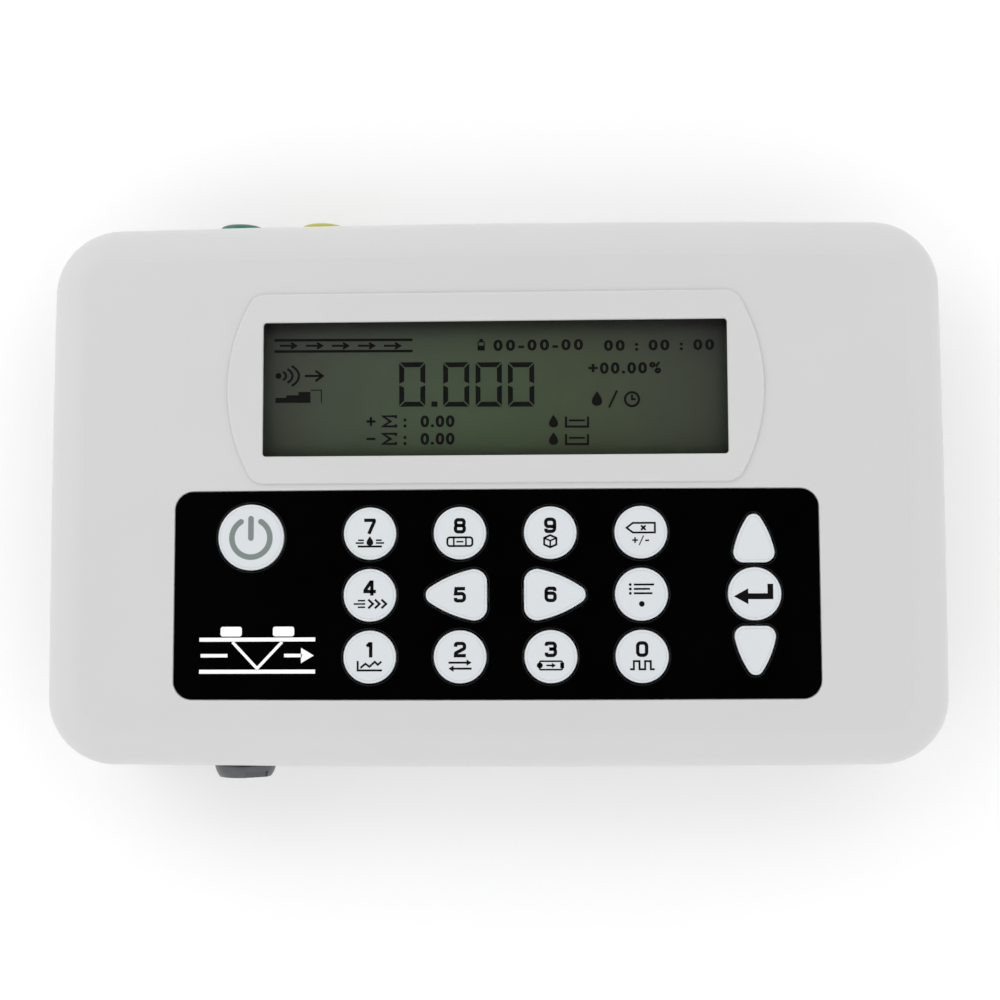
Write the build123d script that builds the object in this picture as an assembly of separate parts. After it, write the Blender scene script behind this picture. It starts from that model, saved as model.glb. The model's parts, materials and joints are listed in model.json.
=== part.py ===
from build123d import *
import math
import os

os.makedirs("parts", exist_ok=True)

# ---------------------------------------------------------------------------
# Portable ultrasonic flow meter.
# The instrument lies on its back: +Z is out of the face, +Y is the top edge
# (sensor sockets), +X is to the right.  Everything is drawn about the centre
# of the case outline and shifted by SHIFT_Y when it is written, so that the
# origin is the centre of the underside of the whole instrument.
# ---------------------------------------------------------------------------

# case
CASE_W = 264.0          # width, side to side at mid height
CASE_TOP = 80.7         # top edge at mid width
CASE_BOTTOM = 80.5      # bottom edge at mid width
BOW_TOP = 1.4           # outward bow of the top edge
BOW_BOTTOM = 0.9        # outward bow of the bottom edge
BOW_SHORT = 0.5         # outward bow of the two short edges
CORNER_R = 20.0
BACK = 1.6              # underside of the rear cover, above the feet
SPLIT = 33.0            # parting plane of the two covers
FACE = 49.2             # flat face of the front cover
WALL = 3.0
FRONT_R = 12.5          # soft edge round the face
REAR_R = 8.0            # soft edge round the back
RIM_CHAMFER = 0.45      # shadow line at the parting plane
INNER = FACE - WALL     # inside of the face
FLOOR = BACK + WALL     # inside of the back

# everything on the face is centred on this x
PX = 0.65

# display surround and window
SUR_Y = 29.6
SUR_TOP = 50.0
SUR_HALF_W = 78.0
SUR_HALF_H = 28.0
SUR_SIDE_R = 53.2
SUR_CORNER_R = 5.5
WIN_W, WIN_H, WIN_R = 134.85, 39.3, 1.0
WIN_Y = 29.36
LIP = 0.9
POCKET_W, POCKET_H = 154.0, 54.0
PANE_T = 1.5

# keypad
KP_W, KP_H, KP_R = 185.6, 60.3, 5.3
KP_Y = -30.37
KP_BOW = 0.23           # its long edges bow outward with the case
KP_FLOOR = 48.5
OVERLAY_T = 0.4
KEY_TOP = 49.75
KEY_GAP = 0.42          # black gap round each key, in the overlay
COVER_GAP = 0.5         # the same in the cover under it
RING_W = 0.45           # raised bead round each key hole
RING_H = 0.13
COLS = (-36.0, -10.0, 16.0, 42.0)
ROWS = (-12.8, -30.58, -48.29)
KEY_D = 15.1
NAV_X = 74.2
POWER_X, POWER_Y, POWER_D = -70.55, -13.74, 19.05
TRAVEL = 0.5

# screws
CASE_SCREWS = [(sx * 116.0, sy * 64.5) for sx in (-1, 1) for sy in (-1, 1)] + [(0, 68.0), (0, -68.0)]
FEET = [(sx * 99.0, sy * 60.0) for sx in (-1, 1) for sy in (-1, 1)]
LCD_POSTS = [(PX + sx * 86.5, SUR_Y + sy * 29.0) for sx in (-1, 1) for sy in (-1, 1)]
KEY_POSTS = [(PX - 90, -9.0), (PX - 90, -54.0), (PX + 90, -9.0), (PX + 90, -54.0), (PX - 23, -21.55), (PX + 29, -39.3)]
MAIN_POSTS = [(sx * 98.0, sy * 46.0) for sx in (-1, 1) for sy in (-1, 1)]

# boards
KB_TOP = 43.9
BOARD_T = 1.6
LCD_PCB_TOP = 39.4
MB_BOTTOM = 22.0
MB_TOP = MB_BOTTOM + BOARD_T

# sockets
SOCKET_Z = 24.8
GREEN_X, YELLOW_X = -78.2, -53.1
SEAT_TOP = 80.6         # flat seats for the sockets, outside
SEAT_IN = 76.8          # flat seats, inside
COLLAR_END = 83.4
COLLAR_D = 13.6
SOCKET_BORE_R = 4.0
SOCKET_BORE_L = 10.0
INSERT_R = 3.5
CHARGER_X = -75.75
CHARGER_END = -84.4
CHARGER_BORE_R = 4.5
CHARGER_BORE_L = 10.0
CHARGER_INSERT_R = 3.9

SHIFT_Y = -(COLLAR_END + CHARGER_END) / 2


# ---------------------------------------------------------------------------
# helpers
# ---------------------------------------------------------------------------
def prism(face, z0, z1):
    return extrude(Pos(0, 0, z0) * face, amount=z1 - z0)


def cyl_z(x, y, z0, z1, r):
    return Pos(x, y, (z0 + z1) / 2) * Cylinder(r, z1 - z0)


def cyl_y(x, z, y0, y1, r):
    return Pos(x, (y0 + y1) / 2, z) * (Rot(90, 0, 0) * Cylinder(r, abs(y1 - y0)))


def block(x0, x1, y0, y1, z0, z1):
    return Pos((x0 + x1) / 2, (y0 + y1) / 2, (z0 + z1) / 2) * Box(x1 - x0, y1 - y0, z1 - z0)


def circle_through(p1, p2, p3):
    """Centre and radius of the circle through three points."""
    (ax, ay), (bx_, by_), (cx, cy) = p1, p2, p3
    d = 2 * (ax * (by_ - cy) + bx_ * (cy - ay) + cx * (ay - by_))
    ux = ((ax ** 2 + ay ** 2) * (by_ - cy) + (bx_ ** 2 + by_ ** 2) * (cy - ay) + (cx ** 2 + cy ** 2) * (ay - by_)) / d
    uy = ((ax ** 2 + ay ** 2) * (cx - bx_) + (bx_ ** 2 + by_ ** 2) * (ax - cx) + (cx ** 2 + cy ** 2) * (bx_ - ax)) / d
    return ux, uy, math.hypot(ax - ux, ay - uy)


def outline(off=0.0):
    """The case outline: four bowed edges with rounded corners, moved in by off.
    Every arc of the inner outline is concentric with its arc of the outer one."""
    x0, y0, y1 = CASE_W / 2 - BOW_SHORT, CASE_TOP - BOW_TOP, CASE_BOTTOM - BOW_BOTTOM
    _, ct, rt = circle_through((-x0, y0), (0, CASE_TOP), (x0, y0))
    _, cb, rb = circle_through((-x0, -y1), (0, -CASE_BOTTOM), (x0, -y1))
    cx, cy, rs = circle_through((x0, y0), (CASE_W / 2, 0), (x0, -y1))
    rt, rb, rs = rt - off, rb - off, rs - off

    def corner(c, r, sign):
        x, y = x0 - off, sign * (y0 - off)
        for _ in range(80):
            y = c + sign * math.sqrt(r ** 2 - x ** 2)
            x = cx + math.sqrt(rs ** 2 - (y - cy) ** 2)
        return x, y

    (xt, yt), (xb, yb) = corner(ct, rt, 1), corner(cb, rb, -1)
    edges = [
        ThreePointArc((-xt, yt), (0, CASE_TOP - off), (xt, yt)),
        ThreePointArc((xt, yt), (cx + rs, cy), (xb, yb)),
        ThreePointArc((xb, yb), (0, -CASE_BOTTOM + off), (-xb, yb)),
        ThreePointArc((-xb, yb), (-cx - rs, cy), (-xt, yt)),
    ]
    f = make_face(edges)
    return fillet(f.vertices(), radius=CORNER_R - off)


def plan_rect(cx, cy, w, h, r):
    return Pos(cx, cy) * RectangleRounded(w, h, r)


def keypad_plan(grow=0.0):
    """The keypad's outline: rounded corners and long edges that bow a little."""
    w, h, e = KP_W / 2 + grow, KP_H / 2 + grow, KP_H / 2 + grow - KP_BOW
    f = make_face([
        ThreePointArc((-w, e), (0, h), (w, e)),
        Line((w, e), (w, -e)),
        ThreePointArc((w, -e), (0, -h), (-w, -e)),
        Line((-w, -e), (-w, e)),
    ])
    return Pos(PX, KP_Y) * fillet(f.vertices(), radius=KP_R + grow)


def triangle_key(h, um, hm, tip, r_base, r_tip, off=0.0):
    """A rounded triangle whose flat side is at x = 0 and whose tip points to +X.
    Its two long sides are gentle arcs through (um, hm); off grows it all round."""
    cx, cy, r = circle_through((0, h), (um, hm), (tip, 0))
    r += off
    u0 = -off
    h0 = cy + math.sqrt(r ** 2 - (u0 - cx) ** 2)
    t0 = cx + math.sqrt(r ** 2 - cy ** 2)
    m0 = cy + math.sqrt(r ** 2 - (um - cx) ** 2)
    f = make_face([
        Line((u0, -h0), (u0, h0)),
        ThreePointArc((u0, h0), (um, m0), (t0, 0)),
        ThreePointArc((t0, 0), (um, -m0), (u0, -h0)),
    ])
    f = fillet(f.vertices().sort_by(Axis.X)[-1], radius=r_tip + off)
    return fillet([v for v in f.vertices() if abs(abs(v.Y) - h0) < 1e-6], radius=r_base + off)


def round_key(x, y, d):
    return lambda off=0.0: Pos(x, y) * Circle(d / 2 + off)


def side_key(x, y, turn):
    return lambda off=0.0: Pos(x, y) * (Rot(0, 0, turn) * triangle_key(7.89, 10.29, 5.50, 19.28, 3.74, 2.62, off))


def nav_key(x, y, turn):
    return lambda off=0.0: Pos(x, y) * (Rot(0, 0, turn) * triangle_key(6.25, 8.25, 4.34, 15.45, 2.93, 2.3, off))


# key name -> (plan shape as a function of its offset, centre x, centre y of the plunger)
KEYS = {}
for name, col, row in (("key_7", 0, 0), ("key_8", 1, 0), ("key_9", 2, 0), ("key_delete", 3, 0),
                       ("key_4", 0, 1), ("key_options", 3, 1),
                       ("key_1", 0, 2), ("key_2", 1, 2), ("key_3", 2, 2), ("key_0", 3, 2)):
    KEYS[name] = (round_key(PX + COLS[col], ROWS[row], KEY_D), PX + COLS[col], ROWS[row])
KEYS["key_enter"] = (round_key(PX + NAV_X, ROWS[1], KEY_D), PX + NAV_X, ROWS[1])
KEYS["key_power"] = (round_key(PX + POWER_X, POWER_Y, POWER_D), PX + POWER_X, POWER_Y)
KEYS["key_5"] = (side_key(PX + COLS[1] + 7.75, ROWS[1], 180), PX + COLS[1], ROWS[1])
KEYS["key_6"] = (side_key(PX + COLS[2] - 7.6, ROWS[1], 0), PX + COLS[2], ROWS[1])
KEYS["key_up"] = (nav_key(PX + NAV_X, ROWS[1] + 8.95, 90), PX + NAV_X, ROWS[1] + 13.9)
KEYS["key_down"] = (nav_key(PX + NAV_X, ROWS[1] - 9.15, -90), PX + NAV_X, ROWS[1] - 14.1)

parts = {}


# ---------------------------------------------------------------------------
# front cover: one moulding with the raised display surround, the window
# opening, the keypad recess and the screw bosses
# ---------------------------------------------------------------------------
outer = prism(outline(), SPLIT, FACE)
outer = fillet(outer.edges().group_by(Axis.Z)[-1], radius=FRONT_R)
outer = chamfer(outer.edges().group_by(Axis.Z)[0], length=RIM_CHAMFER)
cavity = prism(outline(WALL), SPLIT - 1, INNER)
cavity = fillet(cavity.edges().group_by(Axis.Z)[-1], radius=FRONT_R - WALL)

# raised surround: straight top and bottom, bulging ends
sx = SUR_HALF_W - (SUR_SIDE_R - math.sqrt(SUR_SIDE_R ** 2 - SUR_HALF_H ** 2))
sur = make_face([
    Line((-sx, SUR_HALF_H), (sx, SUR_HALF_H)),
    ThreePointArc((sx, SUR_HALF_H), (SUR_HALF_W, 0), (sx, -SUR_HALF_H)),
    Line((sx, -SUR_HALF_H), (-sx, -SUR_HALF_H)),
    ThreePointArc((-sx, -SUR_HALF_H), (-SUR_HALF_W, 0), (-sx, SUR_HALF_H)),
])
sur = fillet(sur.vertices(), radius=SUR_CORNER_R)
sur = Pos(PX, SUR_Y) * sur
plateau = prism(sur, FACE - 1.0, SUR_TOP)
plateau = fillet(plateau.edges().group_by(Axis.Z)[-1], radius=0.72)

front = outer - cavity
# bosses are kept inside the outer shell
skin = prism(outline(0.8), SPLIT, INNER + 0.5)
skin = fillet(skin.edges().group_by(Axis.Z)[-1], radius=FRONT_R - 1.5)
bosses = [cyl_z(x, y, SPLIT, INNER + 0.2, 5.25) & skin for x, y in CASE_SCREWS]
bosses += [cyl_z(x, y, LCD_PCB_TOP, INNER + 0.2, 3.6) for x, y in LCD_POSTS]
bosses += [cyl_z(x, y, KB_TOP, INNER + 0.2, 3.0) for x, y in KEY_POSTS]
for b in bosses:
    front = front + b
front = front + plateau

# window opening through a thin lip, and the pocket for the pane behind it
window = prism(plan_rect(PX, WIN_Y, WIN_W, WIN_H, WIN_R), SUR_TOP - 4, SUR_TOP + 1)
pocket = prism(plan_rect(PX, SUR_Y, POCKET_W, POCKET_H, 1.5), INNER - 1, SUR_TOP - LIP)
front = front - pocket - window
front = fillet([e for e in front.edges().filter_by_position(Axis.Z, SUR_TOP - 1e-3, SUR_TOP + 1e-3)
                if abs(e.center().X - PX) < WIN_W / 2 + 1 and abs(e.center().Y - WIN_Y) < WIN_H / 2 + 1], radius=0.35)

# keypad recess with the key holes through its floor
front = front - prism(keypad_plan(0.2), KP_FLOOR, FACE + 1)
front = fillet([e for e in front.edges().filter_by_position(Axis.Z, FACE - 1e-3, FACE + 1e-3)
                if abs(e.center().X - PX) < KP_W / 2 + 1 and abs(e.center().Y - KP_Y) < KP_H / 2 + 1], radius=0.3)
for name, (shape, kx, ky) in KEYS.items():
    front = front - prism(shape(COVER_GAP), INNER - 1, FACE)
# pilot holes
for x, y in CASE_SCREWS:
    front = front - cyl_z(x, y, SPLIT - 1, 42.0, 1.97)
for x, y in LCD_POSTS:
    front = front - cyl_z(x, y, LCD_PCB_TOP - 1, 45.0, 1.475)
for x, y in KEY_POSTS:
    front = front - cyl_z(x, y, KB_TOP - 1, 47.4, 1.475)
parts["front_cover"] = front


# ---------------------------------------------------------------------------
# rear cover: the deep tub that carries the sockets, the battery and the board
# ---------------------------------------------------------------------------
rear = prism(outline(), BACK, SPLIT)
rear = fillet(rear.edges().group_by(Axis.Z)[0], radius=REAR_R)
rear = chamfer(rear.edges().group_by(Axis.Z)[-1], length=RIM_CHAMFER)
hollow = prism(outline(WALL), FLOOR, SPLIT + 1)
hollow = fillet(hollow.edges().group_by(Axis.Z)[0], radius=REAR_R - WALL)
tub_skin = prism(outline(0.8), BACK + 0.5, SPLIT)
tub_skin = fillet(tub_skin.edges().group_by(Axis.Z)[0], radius=REAR_R - 0.8)
# flat seats for the sockets, outside and inside the wall
for x in (GREEN_X, YELLOW_X):
    rear = rear + cyl_y(x, SOCKET_Z, 79.0, SEAT_TOP, 7.3)
rear = rear + cyl_y(CHARGER_X, SOCKET_Z, -79.0, -80.5, 7.3)
rear = rear - hollow
for x in (GREEN_X, YELLOW_X):
    rear = rear + (cyl_y(x, SOCKET_Z, SEAT_IN, 78.5, 7.2))
rear = rear + (cyl_y(CHARGER_X, SOCKET_Z, -SEAT_IN, -78.5, 7.2))
for x, y in CASE_SCREWS:
    rear = rear + (cyl_z(x, y, BACK + 0.6, SPLIT, 5.25) & tub_skin)
for x, y in MAIN_POSTS:
    rear = rear + cyl_z(x, y, FLOOR - 0.5, MB_BOTTOM, 3.6)

# battery cradle: two end ribs and two posts for the strap
BAT_X, BAT_Y, CELL_D, CELL_L, CELLS = 45.0, -8.0, 14.4, 50.5, 5
BAT_Z = FLOOR + CELL_D / 2
for sy in (-1, 1):
    yr = BAT_Y + sy * (CELL_L / 2 + 0.6 + 0.8)
    rear = rear + block(BAT_X - 30, BAT_X + 30, yr - 0.8, yr + 0.8, FLOOR - 0.5, FLOOR + 6)
STRAP_POSTS = [(BAT_X - 43.0, BAT_Y), (BAT_X + 43.0, BAT_Y)]
for x, y in STRAP_POSTS:
    rear = rear + cyl_z(x, y, FLOOR - 0.5, 9.6, 3.6)
# stiffening ribs on the floor
for x in (-70.0, -40.0):
    rear = rear + block(x - 0.8, x + 0.8, -60, 60, FLOOR - 0.5, FLOOR + 3)

for x, y in CASE_SCREWS:
    rear = rear - cyl_z(x, y, BACK - 1, 4.9, 4.2) - cyl_z(x, y, BACK - 1, SPLIT + 1, 2.2)
for x, y in FEET:
    rear = rear - cyl_z(x, y, BACK - 1, BACK + 0.8, 7.6)
for x, y in MAIN_POSTS:
    rear = rear - cyl_z(x, y, MB_BOTTOM - 5, MB_BOTTOM + 1, 1.475)
for x, y in STRAP_POSTS:
    rear = rear - cyl_z(x, y, 5.4, 11, 1.475)
for x in (GREEN_X, YELLOW_X):
    rear = rear - cyl_y(x, SOCKET_Z, 70, 85, 5.6)
rear = rear - cyl_y(CHARGER_X, SOCKET_Z, -70, -85, 6.3)
# shallow bare field on the back
rear = rear - prism(plan_rect(0, 0, 120, 62, 4), BACK - 1, BACK + 0.4)
# gasket groove in the rim
GROOVE_IN, GROOVE_W, GROOVE_D = 1.15, 1.15, 1.4
groove = prism(outline(GROOVE_IN) - outline(GROOVE_IN + GROOVE_W), SPLIT - GROOVE_D, SPLIT + 1)
rear = rear - groove
parts["rear_cover"] = rear

parts["case_gasket"] = prism(outline(GROOVE_IN + 0.05) - outline(GROOVE_IN + GROOVE_W - 0.05), SPLIT - GROOVE_D, SPLIT)


# ---------------------------------------------------------------------------
# fasteners and feet
# ---------------------------------------------------------------------------
def pan_screw(x, y, z_seat, up, head_r, head_h, r, length):
    """A cross-head screw whose head sits on z_seat. up is +1 when the shank points to +Z."""
    shank = cyl_z(0, 0, 0, length, r)
    shank = chamfer(shank.edges().group_by(Axis.Z)[-1], length=r * 0.35)
    head = cyl_z(0, 0, -head_h, 0, head_r)
    head = fillet(head.edges().group_by(Axis.Z)[0], radius=head_h * 0.45)
    s = head + shank
    w, d = head_r * 0.24, head_h * 0.55
    for a in (0, 90):
        s = s - Rot(0, 0, a) * block(-head_r * 0.55, head_r * 0.55, -w / 2, w / 2, -head_h - 1, -head_h + d)
    if up < 0:
        s = Rot(180, 0, 0) * s
    return Pos(x, y, z_seat) * s


parts["case_screws"] = Compound([pan_screw(x, y, 4.9, 1, 3.9, 2.8, 1.95, 36.0).solid() for x, y in CASE_SCREWS])
feet = []
for x, y in FEET:
    f = cyl_z(x, y, 0, BACK + 0.8, 7.5)
    feet.append(fillet(f.edges().group_by(Axis.Z)[0], radius=0.7).solid())
parts["rear_feet"] = Compound(feet)

board_screws = [pan_screw(x, y, LCD_PCB_TOP - BOARD_T, 1, 2.75, 1.9, 1.45, 5.0) for x, y in LCD_POSTS]
board_screws += [pan_screw(x, y, KB_TOP - BOARD_T, 1, 2.75, 1.9, 1.45, 5.0) for x, y in KEY_POSTS]
board_screws += [pan_screw(x, y, MB_TOP, -1, 2.75, 1.9, 1.45, 5.0) for x, y in MAIN_POSTS]
board_screws += [pan_screw(x, y, 10.6, -1, 2.75, 1.9, 1.45, 5.0) for x, y in STRAP_POSTS]
parts["board_screws"] = Compound([s.solid() for s in board_screws])


# ---------------------------------------------------------------------------
# display: pane, foam gasket, glass, metal bezel, light guide and board
# ---------------------------------------------------------------------------
PANE_TOP = SUR_TOP - LIP
parts["display_window"] = prism(plan_rect(PX, SUR_Y, POCKET_W - 0.6, POCKET_H - 0.6, 1.2), PANE_TOP - PANE_T, PANE_TOP)
GASKET_BOTTOM = 46.9
parts["display_gasket"] = prism(plan_rect(PX, SUR_Y, POCKET_W - 1.0, POCKET_H - 1.0, 1.2) - plan_rect(PX, SUR_Y, 141, 45, 1),
                                GASKET_BOTTOM, PANE_TOP - PANE_T)
bezel = block(PX - 76, PX + 76, SUR_Y - 26, SUR_Y + 26, LCD_PCB_TOP, GASKET_BOTTOM)
bezel = fillet(bezel.edges().filter_by(Axis.Z), radius=1.0)
bezel = bezel - block(PX - 75.4, PX + 75.4, SUR_Y - 25.4, SUR_Y + 25.4, LCD_PCB_TOP - 1, GASKET_BOTTOM - 0.5)
bezel = bezel - prism(plan_rect(PX, SUR_Y, 140, 44, 0.8), GASKET_BOTTOM - 2, GASKET_BOTTOM + 1)
parts["lcd_bezel"] = bezel
GLASS_TOP = GASKET_BOTTOM - 0.5
parts["lcd_glass"] = block(PX - 74.5, PX + 74.5, SUR_Y - 24.5, SUR_Y + 24.5, GLASS_TOP - 2.2, GLASS_TOP)
parts["lcd_backlight"] = block(PX - 74.5, PX + 74.5, SUR_Y - 24.5, SUR_Y + 24.5, LCD_PCB_TOP, GLASS_TOP - 2.2)
lcd_board = prism(plan_rect(PX, SUR_Y, 180, 65, 1.5), LCD_PCB_TOP - BOARD_T, LCD_PCB_TOP)
for x, y in LCD_POSTS:
    lcd_board = lcd_board - cyl_z(x, y, 30, 45, 1.6)
parts["lcd_board"] = lcd_board


# ---------------------------------------------------------------------------
# keypad: black overlay, sixteen keys, dome sheet and board
# ---------------------------------------------------------------------------
OV_TOP = KP_FLOOR + OVERLAY_T
overlay_face = keypad_plan()
overlay = prism(overlay_face, KP_FLOOR, OV_TOP)
for name, (shape, kx, ky) in KEYS.items():
    overlay = overlay + prism(shape(KEY_GAP + RING_W), OV_TOP - 0.1, OV_TOP + RING_H)
for name, (shape, kx, ky) in KEYS.items():
    overlay = overlay - prism(shape(KEY_GAP), KP_FLOOR - 1, OV_TOP + 1)
parts["keypad_overlay"] = overlay

EAR_TOP = INNER - 0.05
KEY_BASE = EAR_TOP - 0.8
DOME_H = 0.7
FILM = 0.1
PLUNGER_END = KB_TOP + FILM + DOME_H + 0.05
for name, (shape, kx, ky) in KEYS.items():
    cap = prism(shape(), KEY_BASE, KEY_TOP)
    cap = fillet(cap.edges().group_by(Axis.Z)[-1], radius=0.45)
    # a fine groove sets the rim of the cap off from its face
    cap = cap - prism(shape(-0.62) - shape(-0.80), KEY_TOP - 0.08, KEY_TOP + 1)
    cap = cap - prism(shape(-1.3), KEY_BASE - 1, KEY_TOP - 1.5)
    cap = cap + cyl_z(kx, ky, PLUNGER_END, KEY_TOP - 1.2, 1.7)
    bb = shape().bounding_box()
    for s in (-1, 1):
        # two retaining ears under the cover, left and right of the plunger
        edge = bb.max.X if s > 0 else bb.min.X
        ear_y = ky
        if name in ("key_up", "key_down"):
            ear_y = ROWS[1] + (12.2 if name == "key_up" else -12.4)
        x0, x1 = sorted((edge - s * (1.25 if name not in ("key_5", "key_6") else 2.0), edge + s * 1.5))
        cap = cap + block(x0, x1, ear_y - 2.0, ear_y + 2.0, KEY_BASE, EAR_TOP)
    parts[name] = cap.solid()

KB_X0, KB_X1, KB_Y0, KB_Y1 = PX - 94, PX + 94, -58.0, -5.0
dome_sheet = prism(plan_rect(PX, (KB_Y0 + KB_Y1) / 2, 176, 49, 2), KB_TOP, KB_TOP + FILM)
for name, (shape, kx, ky) in KEYS.items():
    # one domed blister under each plunger
    dome_r = (4.5 ** 2 + DOME_H ** 2) / (2 * DOME_H)
    ball = Pos(kx, ky, KB_TOP + FILM + DOME_H - dome_r) * Sphere(dome_r)
    under = Pos(kx, ky, KB_TOP + DOME_H - dome_r) * Sphere(dome_r)
    dome_sheet = dome_sheet + (ball & cyl_z(kx, ky, KB_TOP, KB_TOP + 2, 4.6))
    dome_sheet = dome_sheet - (under & cyl_z(kx, ky, KB_TOP - 1, KB_TOP + 2, 4.4))
for x, y in KEY_POSTS:
    dome_sheet = dome_sheet - cyl_z(x, y, KB_TOP - 1, KB_TOP + 2, 3.4)
parts["dome_sheet"] = dome_sheet.solid()

kb = prism(plan_rect(PX, (KB_Y0 + KB_Y1) / 2, KB_X1 - KB_X0, KB_Y1 - KB_Y0, 2), KB_TOP - BOARD_T, KB_TOP)
for x, y in KEY_POSTS:
    kb = kb - cyl_z(x, y, 30, 50, 1.6)
parts["keypad_board"] = kb


# ---------------------------------------------------------------------------
# main board and what is soldered to it
# ---------------------------------------------------------------------------
mb = prism(plan_rect(0, 0, 210, 104, 3), MB_BOTTOM, MB_TOP)
for x, y in MAIN_POSTS:
    mb = mb - cyl_z(x, y, MB_BOTTOM - 1, MB_TOP + 1, 1.6)
parts["main_board"] = mb


def chip(cx, cy, side, height, pins, pitch):
    """A flat package with gull-wing leads drawn as short bars on all four sides."""
    body = block(cx - side / 2, cx + side / 2, cy - side / 2, cy + side / 2, MB_TOP + 0.1, MB_TOP + height)
    body = chamfer(body.edges().group_by(Axis.Z)[-1], length=0.3)
    for i in range(pins):
        t = (i - (pins - 1) / 2) * pitch
        w = pitch * 0.28
        for s in (-1, 1):
            e = side / 2
            body = body + block(cx + t - w, cx + t + w, cy + min(s * (e - 0.3), s * (e + 1.1)), cy + max(s * (e - 0.3), s * (e + 1.1)), MB_TOP, MB_TOP + 0.5)
            body = body + block(cx + min(s * (e - 0.3), s * (e + 1.1)), cx + max(s * (e - 0.3), s * (e + 1.1)), cy + t - w, cy + t + w, MB_TOP, MB_TOP + 0.5)
    return body


parts["processor"] = chip(20, 12, 20.0, 1.9, 16, 1.1)
parts["signal_processor"] = chip(-22, 8, 14.0, 1.7, 12, 1.0)

# potted transmit transformer on its bobbin base
tx = -45.0
trans = block(tx - 7, tx + 7, 20, 34, MB_TOP, MB_TOP + 3)
trans = trans + cyl_z(tx, 27, MB_TOP + 3, MB_TOP + 9.5, 6.6)
trans = fillet(trans.edges().group_by(Axis.Z)[-1], radius=0.8)
parts["transmit_transformer"] = trans

cell = cyl_z(70, 28, MB_TOP, MB_TOP + 3.2, 10.0)
parts["clock_cell"] = fillet(cell.edges().group_by(Axis.Z)[-1], radius=0.5)


def header(x0, x1, y0, y1, z0, z1, mouth):
    """A shrouded connector; mouth is the box cut into it for its ribbon or leads."""
    h = block(x0, x1, y0, y1, z0, z1)
    h = chamfer(h.edges().filter_by(Axis.Z), length=0.5)
    return h - block(*mouth)


RIB_T = 0.3
# ribbons: profile in the YZ plane, thickened and extruded along X
def ribbon(points, radii, x0, x1):
    path = FilletPolyline(*[(p[0], p[1]) for p in points], radius=radii)
    prof = path.edges() if not isinstance(path, Edge) else [path]
    # trace both faces of the strip as an offset pair and close the ends
    strip = Wire(prof)
    face = trace(strip, line_width=RIB_T)
    f = Plane.YZ * face
    return Pos(x0, 0, 0) * extrude(f, amount=x1 - x0)


KR_Y, DR_Y = -44.0, 45.0
parts["keypad_header"] = header(28, 56, KR_Y - 2.6, KR_Y + 2.6, MB_TOP, MB_TOP + 5.0,
                                (31, 53, KR_Y - 0.15, KR_Y + 0.15, MB_TOP + 2.0, MB_TOP + 6))
parts["display_header"] = header(-31, -3, DR_Y - 2.6, DR_Y + 2.6, MB_TOP, MB_TOP + 5.0,
                                 (-28, -6, DR_Y - 0.15, DR_Y + 0.15, MB_TOP + 2.0, MB_TOP + 6))
kb_under = KB_TOP - BOARD_T - RIB_T / 2
parts["keypad_ribbon"] = ribbon([(-47.5, kb_under), (-66.0, kb_under), (-66.0, 33.0), (KR_Y, 33.0), (KR_Y, MB_TOP + 2.0)],
                                [4.0, 4.0, 3.0], 31, 53)
lb_under = LCD_PCB_TOP - BOARD_T - RIB_T / 2
parts["display_ribbon"] = ribbon([(48.0, lb_under), (65.5, lb_under), (65.5, 31.0), (DR_Y, 31.0), (DR_Y, MB_TOP + 2.0)],
                                 [3.0, 3.0, 1.6], -28, -6)


# ---------------------------------------------------------------------------
# battery: five cells side by side in one sleeve, with a metal strap
# ---------------------------------------------------------------------------
pack = None
for i in range(CELLS):
    cx = BAT_X + (i - (CELLS - 1) / 2) * CELL_D
    c = cyl_y(cx, BAT_Z, BAT_Y - CELL_L / 2, BAT_Y + CELL_L / 2, CELL_D / 2 - 0.01)
    pack = c if pack is None else pack + c
pack = pack + block(BAT_X - 2 * CELL_D, BAT_X + 2 * CELL_D, BAT_Y - CELL_L / 2, BAT_Y + CELL_L / 2, BAT_Z - 5.4, BAT_Z + 5.4)
parts["battery_pack"] = pack

ST, SW = 1.0, 16.0
zt = BAT_Z + CELL_D / 2
xl, xr = BAT_X - CELLS * CELL_D / 2 - 0.6, BAT_X + CELLS * CELL_D / 2 + 0.6
strap = block(xl - ST, xr + ST, BAT_Y - SW / 2, BAT_Y + SW / 2, zt, zt + ST)
strap = strap + block(xl - ST, xl, BAT_Y - SW / 2, BAT_Y + SW / 2, 9.6, zt + 0.2)
strap = strap + block(xr, xr + ST, BAT_Y - SW / 2, BAT_Y + SW / 2, 9.6, zt + 0.2)
strap = strap + block(xl - 11, xl, BAT_Y - SW / 2, BAT_Y + SW / 2, 9.6, 10.6)
strap = strap + block(xr, xr + 11, BAT_Y - SW / 2, BAT_Y + SW / 2, 9.6, 10.6)
for x, y in STRAP_POSTS:
    strap = strap - cyl_z(x, y, 8, 12, 1.6)
parts["battery_bracket"] = strap


def lead(points, r):
    """A round lead along straight runs joined by tangent arcs."""
    radii = []
    for i in range(1, len(points) - 1):
        a, b, c = Vector(points[i - 1]), Vector(points[i]), Vector(points[i + 1])
        turn = math.radians((b - a).get_angle(c - b))
        radii.append(round(0.45 * min((b - a).length, (c - b).length) / math.tan(turn / 2), 3))
    path = FilletPolyline(*points, radius=radii)
    start = Plane(origin=points[0], z_dir=Vector(points[1]) - Vector(points[0]))
    return sweep(start * Circle(r), path=path)


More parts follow.
